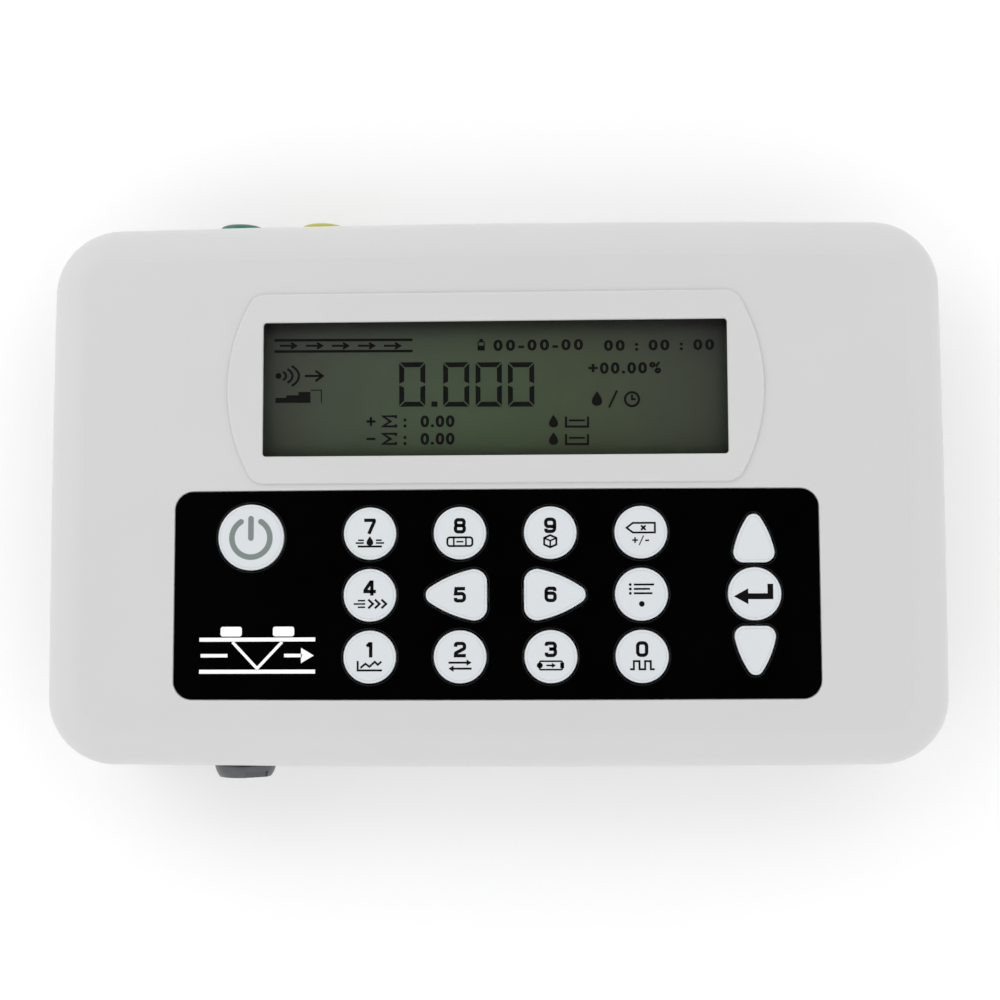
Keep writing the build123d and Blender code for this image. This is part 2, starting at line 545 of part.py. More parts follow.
# battery connector under the main board, with the lead from the pack
parts["battery_header"] = header(-30, -20, -20, -8, MB_BOTTOM - 6, MB_BOTTOM, (-21, -19, -15.2, -12.8, MB_BOTTOM - 4.2, MB_BOTTOM - 1.8))
bx = BAT_X - CELLS * CELL_D / 2
parts["battery_lead"] = lead([(bx + 0.01, -24.0, BAT_Z), (bx - 9, -24.0, BAT_Z), (bx - 18, -19.0, BAT_Z + 4.5), (bx - 24, -14.0, MB_BOTTOM - 3.0), (-21.0, -14.0, MB_BOTTOM - 3.0)], 1.1)


# ---------------------------------------------------------------------------
# sensor sockets on the top edge: moulded body, coloured collar, contact insert
# ---------------------------------------------------------------------------
def sensor_socket(x, colour):
    z = SOCKET_Z
    body = cyl_y(x, z, 66.0, COLLAR_END - 0.5, 5.5)
    body = chamfer(body.edges().group_by(Axis.Y)[-1], length=0.3)
    body = body + cyl_y(x, z, 75.0, SEAT_IN, 7.2)
    face_y = COLLAR_END - 0.5 - SOCKET_BORE_L
    body = body - cyl_y(x, z, face_y, 90.0, SOCKET_BORE_R) - cyl_y(x, z, 60.0, face_y + 0.5, INSERT_R)
    parts["sensor_socket_" + colour] = body
    collar = cyl_y(x, z, SEAT_TOP, COLLAR_END, COLLAR_D / 2)
    collar = fillet(collar.edges().group_by(Axis.Y)[-1], radius=0.8)
    collar = collar - cyl_y(x, z, 70, 90, 5.5)
    parts["sensor_collar_" + colour] = collar
    ins = cyl_y(x, z, 66.0, face_y - 0.1, INSERT_R)
    ins = ins + cyl_y(x, z, 62.0, 66.0, 2.6)
    for k in range(4):
        a = math.radians(45 + 90 * k)
        ins = ins - cyl_y(x + 1.9 * math.cos(a), z + 1.9 * math.sin(a), face_y - 3.5, face_y + 1, 0.55)
    parts["sensor_insert_" + colour] = ins


sensor_socket(GREEN_X, "green")
sensor_socket(YELLOW_X, "yellow")
HX = (GREEN_X + YELLOW_X) / 2
parts["sensor_header"] = header(HX - 12, HX + 12, 32.0, 39.0, MB_TOP, MB_TOP + 5.5,
                                (HX - 10.5, HX + 10.5, 38.0, 40.0, SOCKET_Z - 1.15, SOCKET_Z + 1.15))
parts["sensor_lead_green"] = lead([(GREEN_X, 62.0, SOCKET_Z), (GREEN_X, 54.5, SOCKET_Z), (HX - 6, 46.0, SOCKET_Z), (HX - 6, 38.0, SOCKET_Z)], 1.1)
parts["sensor_lead_yellow"] = lead([(YELLOW_X, 62.0, SOCKET_Z), (YELLOW_X, 54.5, SOCKET_Z), (HX + 6, 46.0, SOCKET_Z), (HX + 6, 38.0, SOCKET_Z)], 1.1)


# ---------------------------------------------------------------------------
# charger socket on the bottom edge: tapered grey shell with one flat side
# ---------------------------------------------------------------------------
z = SOCKET_Z
END = CHARGER_END
prof = make_face([
    Line((0, -80.5), (7.6, -80.5)),
    Line((7.6, -80.5), (7.6, -80.85)),
    Line((7.6, -80.85), (9.1, -80.85)),
    Line((9.1, -80.85), (9.1, -81.1)),
    ThreePointArc((9.1, -81.1), (8.62, -82.75), (7.85, END + 0.3)),
    ThreePointArc((7.85, END + 0.3), (7.71, END + 0.09), (7.45, END)),
    Line((7.45, END), (0, END)),
    Line((0, END), (0, -80.5)),
])
shell = Pos(CHARGER_X, 0, z) * revolve(prof, axis=Axis.Y)
# sunk finger flat on the side that faces up and to the right, following the taper
FLAT_START = -82.25
flat = Pos(CHARGER_X, FLAT_START, z) * (Rot(0, 36, 0) * (Pos(0, 0, 7.1) * (Rot(17, 0, 0) * (Pos(0, -5, 5) * Box(7.4, 10, 10)))))
shell = shell - (flat & block(CHARGER_X - 20, CHARGER_X + 20, -90, FLAT_START, z - 20, z + 20))
barrel = cyl_y(CHARGER_X, z, -66.0, -80.5, 6.2)
shell = shell + barrel
cface = END + CHARGER_BORE_L
shell = shell - cyl_y(CHARGER_X, z, cface, -90.0, CHARGER_BORE_R) - cyl_y(CHARGER_X, z, -60.0, cface - 0.5, CHARGER_INSERT_R)
shell = chamfer([e for e in shell.edges().filter_by(GeomType.CIRCLE)
                 if abs(e.center().Y - END) < 1e-3 and abs(e.radius - CHARGER_BORE_R) < 1e-3], length=0.35)
parts["charger_socket"] = shell
nut = Pos(CHARGER_X, 0, z) * (Rot(90, 0, 0) * extrude(RegularPolygon(9.5, 6, major_radius=False), amount=3.0))
nut = Pos(0, -(SEAT_IN - 3.0) - 0, 0) * nut
nut = nut - cyl_y(CHARGER_X, z, -60, -90, 6.2)
parts["charger_nut"] = nut
cins = cyl_y(CHARGER_X, z, -66.0, cface + 0.1, CHARGER_INSERT_R)
cins = cins + cyl_y(CHARGER_X, z, -62.0, -66.0, 2.8)
for k in range(3):
    a = math.radians(90 + 120 * k)
    cins = cins - cyl_y(CHARGER_X + 2.3 * math.cos(a), z + 2.3 * math.sin(a), cface - 1, cface + 3.5, 0.7)
parts["charger_insert"] = cins
parts["charger_header"] = header(CHARGER_X - 2, CHARGER_X + 12, -42.0, -35.0, MB_TOP, MB_TOP + 5.5,
                                 (CHARGER_X + 1.0, CHARGER_X + 9.0, -43.0, -41.0, SOCKET_Z - 1.15, SOCKET_Z + 1.15))
parts["charger_lead"] = lead([(CHARGER_X, -62.0, z), (CHARGER_X, -56.5, z), (CHARGER_X + 5, -50.0, z), (CHARGER_X + 5, -41.0, z)], 1.1)


# ---------------------------------------------------------------------------
# write
# ---------------------------------------------------------------------------
for name, shape in parts.items():
    shape = Pos(0, SHIFT_Y, 0) * shape
    export_step(shape, "parts/" + name + ".step")
print(len(parts), "nodes, shift y", SHIFT_Y)
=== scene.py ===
import json
import math

import bmesh
import bpy
from mathutils import Matrix, Vector
from mathutils.geometry import tessellate_polygon


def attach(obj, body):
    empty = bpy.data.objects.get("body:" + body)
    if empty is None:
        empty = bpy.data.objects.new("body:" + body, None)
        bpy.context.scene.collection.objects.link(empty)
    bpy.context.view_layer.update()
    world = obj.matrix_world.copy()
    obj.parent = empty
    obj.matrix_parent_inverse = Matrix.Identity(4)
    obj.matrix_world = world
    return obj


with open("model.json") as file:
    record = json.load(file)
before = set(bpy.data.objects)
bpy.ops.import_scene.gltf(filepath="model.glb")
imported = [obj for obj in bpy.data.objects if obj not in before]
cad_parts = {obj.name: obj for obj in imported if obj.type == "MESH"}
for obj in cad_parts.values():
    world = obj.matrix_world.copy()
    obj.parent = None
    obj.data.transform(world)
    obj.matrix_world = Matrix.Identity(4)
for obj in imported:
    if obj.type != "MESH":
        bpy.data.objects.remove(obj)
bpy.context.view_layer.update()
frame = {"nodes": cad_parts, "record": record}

MM = 0.001
SHIFT = 0.5            # the construction's y shift, mm
PX = 0.65              # everything on the face is centred on this x, mm
KEY_TOP = 49.75
KP_TOP = 48.9
GLASS_TOP = 46.4

COLS = (-36.0, -10.0, 16.0, 42.0)
ROWS = (-12.8, -30.58, -48.29)
NAV_X = 74.2
SUR_Y = 29.6
WIN_Y = 29.36


# ---------------------------------------------------------------------------
# camera: fitted to the photograph's case, window and keys
# ---------------------------------------------------------------------------
CAM = (18.38, -38.13 + SHIFT, 495.5)
RIGHT = (0.99933032, -0.00339391, -0.03643331)
UP = (0.00621483, 0.99696557, 0.07759525)
BACK = (0.0360594, -0.07776971, 0.99631902)
cam_data = bpy.data.cameras.new("camera")
cam_data.sensor_width = 36.0
cam_data.sensor_fit = "HORIZONTAL"
cam_data.lens = 55.9
cam_data.clip_start = 0.01
cam = bpy.data.objects.new("camera", cam_data)
bpy.context.scene.collection.objects.link(cam)
m = Matrix((
    (RIGHT[0], UP[0], BACK[0], CAM[0] * MM),
    (RIGHT[1], UP[1], BACK[1], CAM[1] * MM),
    (RIGHT[2], UP[2], BACK[2], CAM[2] * MM),
    (0, 0, 0, 1)))
cam.matrix_world = m
bpy.context.scene.camera = cam


# ---------------------------------------------------------------------------
# light: a pale tent, open above where the camera stands
# ---------------------------------------------------------------------------
def build_world():
    w = bpy.data.worlds.new("tent")
    bpy.context.scene.world = w
    w.use_nodes = True
    nt = w.node_tree
    nt.nodes.clear()
    out = nt.nodes.new("ShaderNodeOutputWorld")
    bg = nt.nodes.new("ShaderNodeBackground")
    tc = nt.nodes.new("ShaderNodeTexCoord")
    sep = nt.nodes.new("ShaderNodeSeparateXYZ")
    ramp = nt.nodes.new("ShaderNodeValToRGB")
    nt.links.new(tc.outputs["Generated"], sep.inputs[0])
    nt.links.new(sep.outputs["Z"], ramp.inputs["Fac"])
    r = ramp.color_ramp
    r.interpolation = "EASE"
    r.elements[0].position = 0.0
    r.elements[0].color = (0.80, 0.80, 0.80, 1)
    r.elements[1].position = 1.0
    r.elements[1].color = (0.01, 0.01, 0.01, 1)
    for pos, v in ((0.70, 1.0), (0.845, 1.0), (0.935, 0.01)):
        e = r.elements.new(pos)
        e.color = (v, v, v, 1)
    nt.links.new(ramp.outputs["Color"], bg.inputs["Color"])
    bg.inputs["Strength"].default_value = 1.41
    nt.links.new(bg.outputs[0], out.inputs[0])


build_world()


def area(name, loc, target, size, power, size_y=None, color=(1, 1, 1)):
    d = bpy.data.lights.new(name, "AREA")
    d.energy = power
    d.color = color
    d.shape = "RECTANGLE"
    d.size = size
    d.size_y = size_y or size
    o = bpy.data.objects.new(name, d)
    bpy.context.scene.collection.objects.link(o)
    o.location = loc
    o.rotation_euler = (Vector(target) - Vector(loc)).to_track_quat("-Z", "Y").to_euler()
    return o


area("soft_left", (-0.9, 0.5, 0.7), (0, 0, 0.03), 0.8, 1.1, 0.8)
bpy.context.scene.view_settings.view_transform = "Standard"
bpy.context.scene.view_settings.look = "None"


# ---------------------------------------------------------------------------
# materials
# ---------------------------------------------------------------------------
class Mat:
    """A principled material with its node tree at hand."""

    def __init__(self, name, color, rough, metallic=0.0, spec=0.5, coat=0.0, coat_rough=0.1):
        self.m = bpy.data.materials.new(name)
        self.m.use_nodes = True
        self.nt = self.m.node_tree
        self.b = self.nt.nodes["Principled BSDF"]
        self.b.inputs["Base Color"].default_value = (*color, 1)
        self.b.inputs["Roughness"].default_value = rough
        self.b.inputs["Metallic"].default_value = metallic
        self.b.inputs["Specular IOR Level"].default_value = spec
        self.b.inputs["Coat Weight"].default_value = coat
        self.b.inputs["Coat Roughness"].default_value = coat_rough
        self.m.diffuse_color = (*color, 1)
        self.tc = self.nt.nodes.new("ShaderNodeTexCoord")
        self._height = None

    def link(self, a, b):
        self.nt.links.new(a, b)

    def noise(self, scale, detail=4.0, rough=0.6, stretch=(1, 1, 1)):
        mp = self.nt.nodes.new("ShaderNodeMapping")
        mp.inputs["Scale"].default_value = stretch
        self.link(self.tc.outputs["Object"], mp.inputs[0])
        n = self.nt.nodes.new("ShaderNodeTexNoise")
        n.inputs["Scale"].default_value = scale
        n.inputs["Detail"].default_value = detail
        n.inputs["Roughness"].default_value = rough
        self.link(mp.outputs[0], n.inputs["Vector"])
        return n.outputs["Fac"]

    def remap(self, fac, lo, hi, a=0.3, b=0.7):
        r = self.nt.nodes.new("ShaderNodeMapRange")
        r.inputs["From Min"].default_value = a
        r.inputs["From Max"].default_value = b
        r.inputs["To Min"].default_value = lo
        r.inputs["To Max"].default_value = hi
        self.link(fac, r.inputs["Value"])
        return r.outputs["Result"]

    def mottle(self, scale, c1, c2, detail=3.0, stretch=(1, 1, 1)):
        """Colour that drifts between two close tones."""
        f = self.remap(self.noise(scale, detail, stretch=stretch), 0, 1)
        mix = self.nt.nodes.new("ShaderNodeMix")
        mix.data_type = "RGBA"
        mix.inputs["A"].default_value = (*c1, 1)
        mix.inputs["B"].default_value = (*c2, 1)
        self.link(f, mix.inputs["Factor"])
        self.link(mix.outputs["Result"], self.b.inputs["Base Color"])
        return self

    def rough_noise(self, scale, lo, hi, detail=3.0, stretch=(1, 1, 1)):
        self.link(self.remap(self.noise(scale, detail, stretch=stretch), lo, hi), self.b.inputs["Roughness"])
        return self

    def bump(self, height, strength, distance):
        b = self.nt.nodes.new("ShaderNodeBump")
        b.inputs["Strength"].default_value = strength
        b.inputs["Distance"].default_value = distance
        self.link(height, b.inputs["Height"])
        if self._height is not None:
            self.link(self._height, b.inputs["Normal"])
        self._height = b.outputs["Normal"]
        self.link(self._height, self.b.inputs["Normal"])
        return self

    def grain(self, scale, distance, strength=0.5, detail=5.0, stretch=(1, 1, 1)):
        return self.bump(self.noise(scale, detail, stretch=stretch), strength, distance)

    def sparks(self, scale, distance, strength=0.5):
        """Fine spark-eroded mould texture."""
        v = self.nt.nodes.new("ShaderNodeTexVoronoi")
        v.inputs["Scale"].default_value = scale
        self.link(self.tc.outputs["Object"], v.inputs["Vector"])
        return self.bump(v.outputs["Distance"], strength, distance)


def plastic(name, color, rough, texture=900.0, depth=0.00002, spec=0.5, vary=0.03, spark=0.0):
    c2 = tuple(min(1, c * (1 - vary)) for c in color)
    m = Mat(name, color, rough, spec=spec)
    m.mottle(38.0, color, c2)
    m.rough_noise(60.0, rough * 0.9, min(1, rough * 1.12))
    m.grain(texture, depth, 0.35)
    if spark:
        m.sparks(spark, depth * 1.2, 0.25)
    return m


def metal(name, color, rough, stretch=(1, 12, 1)):
    m = Mat(name, color, rough, metallic=1.0)
    m.rough_noise(900.0, rough * 0.8, rough * 1.25, stretch=stretch)
    m.grain(1400.0, 0.000008, 0.4, stretch=stretch)
    m.mottle(60.0, color, tuple(c * 0.93 for c in color))
    return m


M = {}
M["case_grey"] = plastic("case_grey", (0.600, 0.600, 0.600), 0.44, 1500.0, 0.000018, spec=0.4, vary=0.015, spark=1800.0)
M["key_white"] = plastic("key_white", (0.655, 0.685, 0.710), 0.36, 1200.0, 0.000010, spec=0.4, vary=0.012)
M["keypad_black"] = plastic("keypad_black", (0.0003, 0.0003, 0.00033), 0.20, 1400.0, 0.000003, spec=0.12, vary=0.2)
M["board_green"] = plastic("board_green", (0.02, 0.13, 0.05), 0.3, 700.0, 0.00001)
M["chip_black"] = plastic("chip_black", (0.02, 0.02, 0.022), 0.5, 1500.0)
M["transformer_grey"] = plastic("transformer_grey", (0.08, 0.08, 0.085), 0.45, 900.0)
M["header_white"] = plastic("header_white", (0.70, 0.68, 0.58), 0.45, 900.0)
M["ribbon_grey"] = plastic("ribbon_grey", (0.36, 0.37, 0.38), 0.4, 900.0)
M["lead_black"] = plastic("lead_black", (0.018, 0.018, 0.018), 0.55, 700.0)
M["battery_sleeve"] = plastic("battery_sleeve", (0.02, 0.07, 0.24), 0.25, 500.0)
M["socket_grey"] = plastic("socket_grey", (0.105, 0.108, 0.108), 0.45, 1300.0)
M["collar_green"] = plastic("collar_green", (0.035, 0.190, 0.125), 0.38, 1300.0, vary=0.06)
M["collar_yellow"] = plastic("collar_yellow", (0.485, 0.490, 0.075), 0.38, 1300.0, vary=0.05)
M["charger_grey"] = plastic("charger_grey", (0.078, 0.081, 0.088), 0.34, 1300.0, vary=0.16)
M["insert_black"] = plastic("insert_black", (0.012, 0.012, 0.012), 0.5, 1300.0)
M["gasket_black"] = plastic("gasket_black", (0.02, 0.02, 0.02), 0.85, 500.0, 0.00006)
M["dome_film"] = plastic("dome_film", (0.60, 0.62, 0.64), 0.25, 900.0)
M["foot_rubber"] = plastic("foot_rubber", (0.022, 0.022, 0.022), 0.8, 900.0, 0.00004)
M["light_guide"] = plastic("light_guide", (0.66, 0.72, 0.60), 0.4, 500.0)
M["cell_steel"] = metal("cell_steel", (0.62, 0.62, 0.61), 0.3)
M["screw_steel"] = metal("screw_steel", (0.56, 0.56, 0.57), 0.32)
M["lcd_steel"] = metal("lcd_steel", (0.018, 0.018, 0.018), 0.5)
M["strap_aluminium"] = metal("strap_aluminium", (0.70, 0.71, 0.72), 0.38)
M["nut_brass"] = metal("nut_brass", (0.62, 0.50, 0.24), 0.3)
M["legend_black"] = plastic("legend_black", (0.0022, 0.0022, 0.0026), 0.45, 2000.0, 0.000004, spec=0.12)
M["legend_grey"] = plastic("legend_grey", (0.200, 0.232, 0.224), 0.45, 2000.0, 0.000004, spec=0.2)
M["print_white"] = plastic("print_white", (0.92, 0.92, 0.92), 0.5, 2000.0, 0.000004, spec=0.2)
M["bead_black"] = plastic("bead_black", (0.0016, 0.0016, 0.0018), 0.28, 2000.0, 0.000004, spec=0.22)


def pane_material():
    m = Mat("window_clear", (0.012, 0.013, 0.012), 0.08, spec=0.5)
    m.b.inputs["Alpha"].default_value = 0.08
    m.rough_noise(40.0, 0.06, 0.10)
    m.grain(500.0, 0.000002, 0.2)
    return m


M["window_clear"] = pane_material()


def lcd_material():
    """Olive display glass: green in the middle and greyer to its edges, with painted shade darkening it towards its
    edges under the window's lip, and the faint raster of its dots.
    """
    m = Mat("lcd_glass", (0.05, 0.07, 0.04), 0.45, spec=0.15)
    nt = m.nt
    sep = nt.nodes.new("ShaderNodeSeparateXYZ")
    m.link(m.tc.outputs["Object"], sep.inputs[0])

    def math_(op, a, b=None, clamp=False):
        n = nt.nodes.new("ShaderNodeMath")
        n.operation = op
        n.use_clamp = clamp
        for i, v in enumerate((a, b)):
            if v is None:
                continue
            if isinstance(v, (int, float)):
                n.inputs[i].default_value = v
            else:
                m.link(v, n.inputs[i])
        return n.outputs[0]

    x = math_("MULTIPLY", math_("SUBTRACT", sep.outputs["X"], (PX) * MM), 1 / (67.5 * MM))
    y = math_("MULTIPLY", math_("SUBTRACT", sep.outputs["Y"], (WIN_Y + SHIFT) * MM), 1 / (19.65 * MM))
    # across the width: grey-brown at the left, green from the first third on, grey-green at the right; the darker ends
    # are painted shade from the window's lip
    rx = nt.nodes.new("ShaderNodeValToRGB")
    m.link(math_("ADD", math_("MULTIPLY", x, 0.5), 0.5), rx.inputs["Fac"])
    cr = rx.color_ramp
    cr.interpolation = "B_SPLINE"
    cr.elements[0].position = 0.0
    cr.elements[0].color = (0.046, 0.050, 0.040, 1)
    cr.elements[1].position = 1.0
    cr.elements[1].color = (0.044, 0.050, 0.038, 1)
    for p, c in ((0.10, (0.064, 0.078, 0.056)), (0.30, (0.072, 0.098, 0.060)), (0.55, (0.070, 0.096, 0.053)),
                 (0.80, (0.062, 0.078, 0.049)), (0.92, (0.056, 0.066, 0.047))):
        e = cr.elements.new(p)
        e.color = (*c, 1)
    # from bottom to top: painted shade, strongest along the top edge under the window's lip and weaker along the bottom
    # edge
    ry = nt.nodes.new("ShaderNodeValToRGB")
    m.link(math_("ADD", math_("MULTIPLY", y, 0.5), 0.5), ry.inputs["Fac"])
    cy = ry.color_ramp
    cy.interpolation = "B_SPLINE"
    cy.elements[0].position = 0.0
    cy.elements[0].color = (0.55, 0.55, 0.52, 1)
    cy.elements[1].position = 1.0
    cy.elements[1].color = (0.38, 0.32, 0.40, 1)
    for p, c in ((0.10, (0.90, 0.90, 0.86)), (0.35, (1.0, 1.0, 1.0)), (0.70, (1.0, 0.98, 1.0)), (0.88, (0.86, 0.80, 0.90))):
        e = cy.elements.new(p)
        e.color = (*c, 1)
    # the width's tones times the painted shade from bottom to top
    mul = nt.nodes.new("ShaderNodeMix")
    mul.data_type = "RGBA"
    mul.blend_type = "MULTIPLY"
    mul.inputs["Factor"].default_value = 1.0
    m.link(rx.outputs["Color"], mul.inputs["A"])
    m.link(ry.outputs["Color"], mul.inputs["B"])
    # the faint raster of the dots
    gx = math_("SINE", math_("MULTIPLY", sep.outputs["X"], 2 * math.pi / (0.55 * MM)))
    gy = math_("SINE", math_("MULTIPLY", sep.outputs["Y"], 2 * math.pi / (0.55 * MM)))
    g = math_("ADD", math_("MULTIPLY", math_("MAXIMUM", gx, gy), 0.035), 0.97)
    n = m.remap(m.noise(90.0, 5.0), 0.95, 1.05)
    k = math_("MULTIPLY", g, n)
    mul2 = nt.nodes.new("ShaderNodeVectorMath")
    mul2.operation = "SCALE"
    m.link(mul.outputs["Result"], mul2.inputs[0])
    m.link(k, mul2.inputs["Scale"])
    m.link(mul2.outputs[0], m.b.inputs["Base Color"])
    m.grain(1200.0, 0.000003, 0.3)
    return m


M["lcd_glass"] = lcd_material()
M["lcd_ink"] = plastic("lcd_ink", (0.0030, 0.0032, 0.0026), 0.5, 1800.0, 0.000003, spec=0.1, vary=0.15)

slot_of = {}
for sp in frame["record"]["subparts"]:
    slot_of[sp["node"]] = sp["material_slot"]
for node, obj in frame["nodes"].items():
    mat = M[slot_of[node]].m
    if not obj.material_slots:
        obj.data.materials.append(mat)
    for s in obj.material_slots:
        s.material = mat


# ---------------------------------------------------------------------------
# drawing: strokes and filled shapes as thin printed layers
# ---------------------------------------------------------------------------
def rounded(points, radius, closed=False, steps=7):
    """A polyline with its corners rounded."""
    pts = [Vector((p[0], p[1])) for p in points]
    n = len(pts)
    out = []
    for i, p in enumerate(pts):
        if not closed and i in (0, n - 1):
            out.append(p)
            continue
        a, b = pts[(i - 1) % n], pts[(i + 1) % n]
        da, db = (a - p), (b - p)
        la, lb = da.length, db.length
        r_ = radius[i] if isinstance(radius, (list, tuple)) else radius
        if r_ <= 1e-6:
            out.append(p)
            continue
        da, db = da / la, db / lb
        ang = math.acos(max(-1, min(1, da.dot(db))))
        if abs(math.pi - ang) < 1e-3:
            out.append(p)
            continue
        t = min(r_ / math.tan(ang / 2), la * 0.499, lb * 0.499)
        r_ = t * math.tan(ang / 2)
        bis = (da + db).normalized()
        c = p + bis * (r_ / math.sin(ang / 2))
        s, e = p + da * t, p + db * t
        a0 = math.atan2(s.y - c.y, s.x - c.x)
        a1 = math.atan2(e.y - c.y, e.x - c.x)
        d = (a1 - a0 + math.pi) % (2 * math.pi) - math.pi
        for k in range(steps + 1):
            a_ = a0 + d * k / steps
            out.append(c + Vector((math.cos(a_), math.sin(a_))) * r_)
    return out


def circle_pts(cx, cy, r, n=48, a0=0.0, a1=360.0):
    full = abs(a1 - a0) >= 359.9
    k = n if full else n + 1
    return [Vector((cx + r * math.cos(math.radians(a0 + (a1 - a0) * i / n)), cy + r * math.sin(math.radians(a0 + (a1 - a0) * i / n)))) for i in range(k)]


class Print:
    """Collects strokes and filled shapes, in mm, and makes one thin mesh of them."""

    def __init__(self, name, body, z, mat, thick=0.02, slot=None):
        self.name, self.body, self.z, self.mat, self.thick = name, body, z, mat, thick
        self.bm = bmesh.new()
        self.slot = slot

    def _v(self, p, z):
        return self.bm.verts.new((p[0] * MM, (p[1] + SHIFT) * MM, z * MM))

    def fill(self, pts, holes=()):
        loops = [[Vector((p[0], p[1], 0)) for p in loop] for loop in [pts, *holes]]
        flat = [p for loop in loops for p in loop]
        tris = tessellate_polygon(loops)
        top = [self._v(p, self.z + self.thick) for p in flat]
        low = [self._v(p, self.z) for p in flat]
        for t in tris:
            a, b, c = (flat[i] for i in t)
            up = (b - a).cross(c - a).z > 0
            t = t if up else (t[0], t[2], t[1])
            self.bm.faces.new([top[i] for i in t])
            self.bm.faces.new([low[i] for i in reversed(t)])
        base = 0
        for loop in loops:
            n = len(loop)
            area2 = sum(loop[i].x * loop[(i + 1) % n].y - loop[(i + 1) % n].x * loop[i].y for i in range(n))
            outward = (area2 > 0) == (base == 0)
            for i in range(n):
                j = (i + 1) % n
                q = [low[base + i], low[base + j], top[base + j], top[base + i]]
                self.bm.faces.new(q if outward else list(reversed(q)))
            base += n
        return self

    def stroke(self, pts, w, closed=False, ends="butt"):
        """A line of width w, built as one strip of quads, so that it may touch itself."""
        q = [Vector((p[0], p[1])) for p in pts]
        pts = [p for i, p in enumerate(q) if i == 0 or (p - q[i - 1]).length > 1e-4]
        if closed and (pts[0] - pts[-1]).length < 1e-4:
            pts.pop()
        n = len(pts)
        rows = []
        for i, p in enumerate(pts):
            if closed:
                a, b = pts[(i - 1) % n], pts[(i + 1) % n]
            else:
                a, b = pts[max(0, i - 1)], pts[min(n - 1, i + 1)]
            d1 = (p - a).normalized() if (p - a).length > 1e-9 else (b - p).normalized()
            d2 = (b - p).normalized() if (b - p).length > 1e-9 else d1
            n1, n2 = Vector((-d1.y, d1.x)), Vector((-d2.y, d2.x))
            nn = n1 + n2
            nn = nn.normalized() if nn.length > 1e-6 else n1
            k = 1 / max(0.42, nn.dot(n1))
            l_, r_ = p + nn * (w / 2 * k), p - nn * (w / 2 * k)
            rows.append([self._v(l_, self.z), self._v(r_, self.z), self._v(r_, self.z + self.thick), self._v(l_, self.z + self.thick)])
        m_ = n if closed else n - 1
        for i in range(m_):
            A, B = rows[i], rows[(i + 1) % n]
            for f in ((A[3], A[2], B[2], B[3]), (A[0], B[0], B[1], A[1]), (A[0], A[3], B[3], B[0]), (A[1], B[1], B[2], A[2])):
                self.bm.faces.new(f)
        if not closed:
            if ends == "round":
                for e, b in ((pts[0], pts[1]), (pts[-1], pts[-2])):
                    a = math.degrees(math.atan2(e.y - b.y, e.x - b.x))
                    self.fill(circle_pts(e.x, e.y, w / 2, 18, a - 90, a + 90))
            else:
                self.bm.faces.new((rows[0][0], rows[0][1], rows[0][2], rows[0][3]))
                self.bm.faces.new((rows[-1][3], rows[-1][2], rows[-1][1], rows[-1][0]))
        return self

    def done(self):
        me = bpy.data.meshes.new(self.name)
        self.bm.to_mesh(me)
        self.bm.free()
        o = bpy.data.objects.new(self.name, me)
        me.materials.append(M[self.mat].m)
        bpy.context.scene.collection.objects.link(o)
        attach(o, self.body)
        return o


def _area(pts):
    n = len(pts)
    return abs(sum(pts[i][0] * pts[(i + 1) % n][1] - pts[(i + 1) % n][0] * pts[i][1] for i in range(n)))


# squarish digits, on centre lines (mm)
HX_, HY_, DW_ = 1.27, 1.74, 0.98
DIGITS = {
    "0": [([(-HX_, -HY_), (HX_, -HY_), (HX_, HY_), (-HX_, HY_)], 0.90, True)],
    "1": [([(-0.78, 0.98), (0.16, 1.86)], 0, False), ([(0.34, 2.18), (0.34, -2.18)], 0, False)],
    "2": [([(-HX_, 0.80), (-HX_, HY_), (HX_, HY_), (HX_, 0.30), (-HX_, -1.00), (-HX_, -HY_), (HX_ + 0.40, -HY_)], [0, 0.75, 0.75, 0.62, 0.45, 0, 0], False)],
    "3": [([(-HX_, 1.00), (-HX_, HY_), (HX_ - 0.06, HY_), (HX_ - 0.06, 0.08), (-0.50, 0.08)], [0, 0.7, 0.75, 0.7, 0], False),
          ([(-0.50, 0.08), (HX_, 0.08), (HX_, -HY_), (-HX_, -HY_), (-HX_, -0.92)], [0, 0.7, 0.8, 0.7, 0], False)],
    "4": [([(0.44, 1.94), (-1.34, -0.66), (-1.34, -1.0), (1.78, -1.0)], [0, 0.15, 0, 0], False), ([(0.62, 2.18), (0.62, -2.18)], 0, False)],
    "5": [([(HX_ + 0.20, HY_), (-HX_ + 0.16, HY_), (-HX_ + 0.02, 0.26), (HX_, 0.34), (HX_, -HY_), (-HX_, -HY_), (-HX_, -0.90)], [0, 0, 0, 0.85, 0.85, 0.75, 0], False)],
    "6": [([(HX_ - 0.05, 0.94), (HX_ - 0.05, HY_), (-HX_, HY_), (-HX_, -HY_), (HX_, -HY_), (HX_, 0.33), (-HX_, 0.33)], [0, 0.75, 0.90, 0.90, 0.80, 0.75, 0], False)],
    "7": [([(-1.66, HY_), (1.24, HY_), (1.24, 1.30), (-0.30, -2.18)], [0, 0.05, 0.40, 0], False)],
    "8": [([(-HX_ + 0.08, 0.08), (HX_ - 0.08, 0.08), (HX_ - 0.08, HY_), (-HX_ + 0.08, HY_)], 0.66, True),
          ([(-HX_, -HY_), (HX_, -HY_), (HX_, 0.08), (-HX_, 0.08)], 0.74, True)],
}
DIGITS["9"] = [([(-x, -y) for x, y in p], r, c) for p, r, c in DIGITS["6"]]


def digit(pr, ch, cx, cy, scale=1.0, w=DW_, squeeze=1.0):
    for pts, r, closed in DIGITS[ch]:
        q = rounded([(cx + x * scale * squeeze, cy + y * scale) for x, y in pts],
                    [a * scale for a in r] if isinstance(r, list) else r * scale, closed)
        pr.stroke(q, w * scale, closed)


